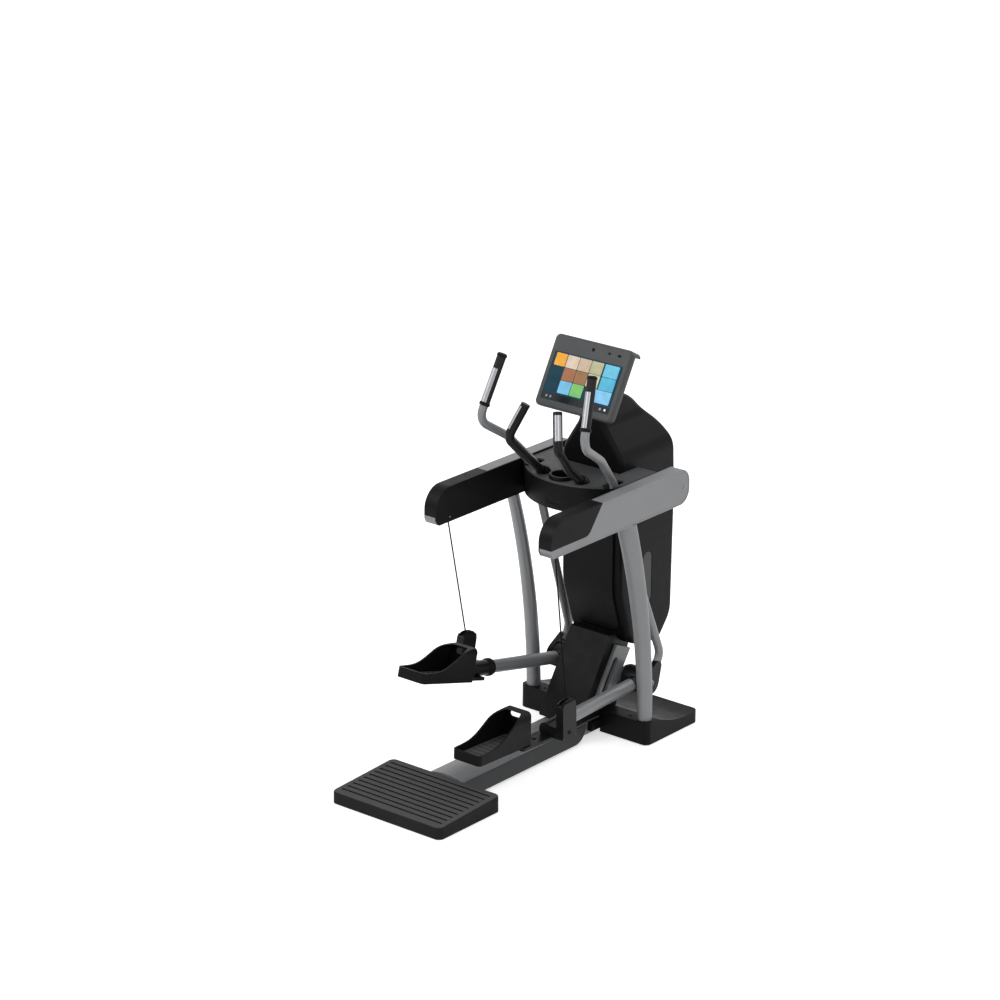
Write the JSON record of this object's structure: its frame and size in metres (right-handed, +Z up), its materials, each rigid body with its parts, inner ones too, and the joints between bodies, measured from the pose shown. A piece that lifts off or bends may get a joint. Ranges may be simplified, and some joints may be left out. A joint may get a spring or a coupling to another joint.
{
  "type": "elliptical trainer",
  "caption": "Variable-stride elliptical trainer with cable-hung foot pedals, swinging handles, side arms, a rear step and a leaning touch-screen console.",
  "frame": {"origin": "centre of the bounding box, on the floor", "axes": "+X to the user's right, +Y forward to the column, +Z up"},
  "size_m": [0.668, 1.64, 1.6465],
  "materials": {
    "silver_paint": "satin",
    "black_plastic": "satin",
    "black_paint": "satin",
    "grey_plastic": "satin",
    "tread_rubber": "matte",
    "grip_rubber": "matte",
    "contact_steel": "brushed",
    "screen_glass": "gloss",
    "machined_steel": "machined",
    "bearing_bronze": "machined",
    "cable_sheath": "satin",
    "cast_flywheel": "cast",
    "belt_rubber": "matte"
  },
  "bodies": {
    "base": {"arm_liners": "black_plastic", "base_beam": "silver_paint", "beam_covers": "grey_plastic", "column_housing": "black_plastic", "column_panel": "black_plastic", "console_housing": "grey_plastic", "console_neck": "black_plastic", "console_screen": "screen_glass", "cup_holder": "black_plastic", "drive_belt": "belt_rubber", "frame_mast": "black_paint", "front_base": "black_plastic", "left_arm_end": "black_plastic", "left_arm_shell": "silver_paint", "left_fixed_handle": "black_paint", "left_post": "silver_paint", "level_feet": "tread_rubber", "lower_cover": "black_plastic", "pivot_shaft": "machined_steel", "pulse_plates": "contact_steel", "rear_platform": "tread_rubber", "right_arm_end": "black_plastic", "right_arm_shell": "silver_paint", "right_fixed_handle": "black_paint", "right_post": "silver_paint", "side_struts": "silver_paint", "tray_deck": "grey_plastic", "tray_skirt": "black_plastic"},
    "left_lever": {"left_lever": "silver_paint", "left_lever_lug": "black_paint", "left_hub_axle": "machined_steel", "left_grip": "grip_rubber", "left_grip_plate": "contact_steel"},
    "left_leveller": {"left_hub_bush": "bearing_bronze"},
    "left_pedal": {"left_bar_hub": "black_paint", "left_bar": "silver_paint", "left_knuckle": "black_plastic", "left_cable_bracket": "black_paint", "left_pedal": "black_plastic", "left_pedal_mat": "tread_rubber"},
    "left_swivel": {"left_swivel_yoke": "machined_steel"},
    "left_roller": {"left_swivel_roller": "bearing_bronze"},
    "left_cable": {"left_cable": "cable_sheath"},
    "right_lever": {"right_lever": "silver_paint", "right_lever_lug": "black_paint", "right_hub_axle": "machined_steel", "right_grip": "grip_rubber", "right_grip_plate": "contact_steel"},
    "right_leveller": {"right_hub_bush": "bearing_bronze"},
    "right_pedal": {"right_bar_hub": "black_paint", "right_bar": "silver_paint", "right_knuckle": "black_plastic", "right_cable_bracket": "black_paint", "right_pedal": "black_plastic", "right_pedal_mat": "tread_rubber"},
    "right_swivel": {"right_swivel_yoke": "machined_steel"},
    "right_roller": {"right_swivel_roller": "bearing_bronze"},
    "right_cable": {"right_cable": "cable_sheath"},
    "drive": {"drive_wheel": "machined_steel"},
    "flywheel": {"flywheel": "cast_flywheel"}
  },
  "joints": [
    {"name": "left_handle_swing", "type": "hinge", "parent": "base", "child": "left_lever", "pos_m": [-0.2, 0.354, 1.045], "axis": [1, 0, 0], "range_deg": [-8, 8]},
    {"name": "left_bar_level", "type": "hinge", "parent": "left_lever", "child": "left_leveller", "pos_m": [-0.19, 0.542, 0.222], "axis": [1, 0, 0], "range_deg": [-8.1, 8.1]},
    {"name": "left_pedal_lift", "type": "hinge", "parent": "left_leveller", "child": "left_pedal", "pos_m": [-0.19, 0.542, 0.222], "axis": [1, 0, 0], "range_deg": [0, 9]},
    {"name": "left_cable_swing", "type": "hinge", "parent": "base", "child": "left_swivel", "pos_m": [-0.274, -0.121, 1.008], "axis": [1, 0, 0], "range_deg": [-11.77, 11.77]},
    {"name": "left_cable_tilt", "type": "hinge", "parent": "left_swivel", "child": "left_roller", "pos_m": [-0.274, -0.121, 1.008], "axis": [1, 0, 0], "range_deg": [-4.08, 0]},
    {"name": "left_cable_run", "type": "slide", "parent": "left_roller", "child": "left_cable", "axis": [0, 0.2084, -0.978], "range_m": [0, 0.082]},
    {"name": "right_handle_swing", "type": "hinge", "parent": "base", "child": "right_lever", "pos_m": [0.2, 0.354, 1.045], "axis": [1, 0, 0], "range_deg": [-8, 8]},
    {"name": "right_bar_level", "type": "hinge", "parent": "right_lever", "child": "right_leveller", "pos_m": [0.19, 0.542, 0.222], "axis": [1, 0, 0], "range_deg": [-8.1, 8.1]},
    {"name": "right_pedal_lift", "type": "hinge", "parent": "right_leveller", "child": "right_pedal", "pos_m": [0.19, 0.542, 0.222], "axis": [1, 0, 0], "range_deg": [-9, 0]},
    {"name": "right_cable_swing", "type": "hinge", "parent": "base", "child": "right_swivel", "pos_m": [0.274, -0.121, 1.008], "axis": [1, 0, 0], "range_deg": [-9.48, 9.48]},
    {"name": "right_cable_tilt", "type": "hinge", "parent": "right_swivel", "child": "right_roller", "pos_m": [0.274, -0.121, 1.008], "axis": [1, 0, 0], "range_deg": [0, 2.92]},
    {"name": "right_cable_run", "type": "slide", "parent": "right_roller", "child": "right_cable", "axis": [0, 0.117, -0.9931], "range_m": [-0.087, 0]},
    {"name": "drive_spin", "type": "hinge", "parent": "base", "child": "drive", "pos_m": [0, 0.61, 0.83], "axis": [1, 0, 0], "continuous": true},
    {"name": "flywheel_spin", "type": "hinge", "parent": "base", "child": "flywheel", "pos_m": [0, 0.625, 0.56], "axis": [1, 0, 0], "continuous": true}
  ],
  "couplings": [
    {"joint": "left_bar_level", "follows": "left_handle_swing", "ratio": -1},
    {"joint": "left_cable_swing", "follows": "left_handle_swing", "ratio": 1.4584},
    {"joint": "left_cable_tilt", "follows": "left_pedal_lift", "ratio": -0.44168},
    {"joint": "left_cable_run", "follows": "left_pedal_lift", "m_per_rad": 0.51861},
    {"joint": "right_handle_swing", "follows": "left_handle_swing", "ratio": -1},
    {"joint": "right_pedal_lift", "follows": "left_pedal_lift", "ratio": -1},
    {"joint": "right_bar_level", "follows": "left_handle_swing", "ratio": 1},
    {"joint": "right_cable_swing", "follows": "left_handle_swing", "ratio": -1.172},
    {"joint": "right_cable_tilt", "follows": "left_pedal_lift", "ratio": 0.31394},
    {"joint": "right_cable_run", "follows": "left_pedal_lift", "m_per_rad": -0.54751},
    {"joint": "flywheel_spin", "follows": "drive_spin", "ratio": 3.75}
  ]
}
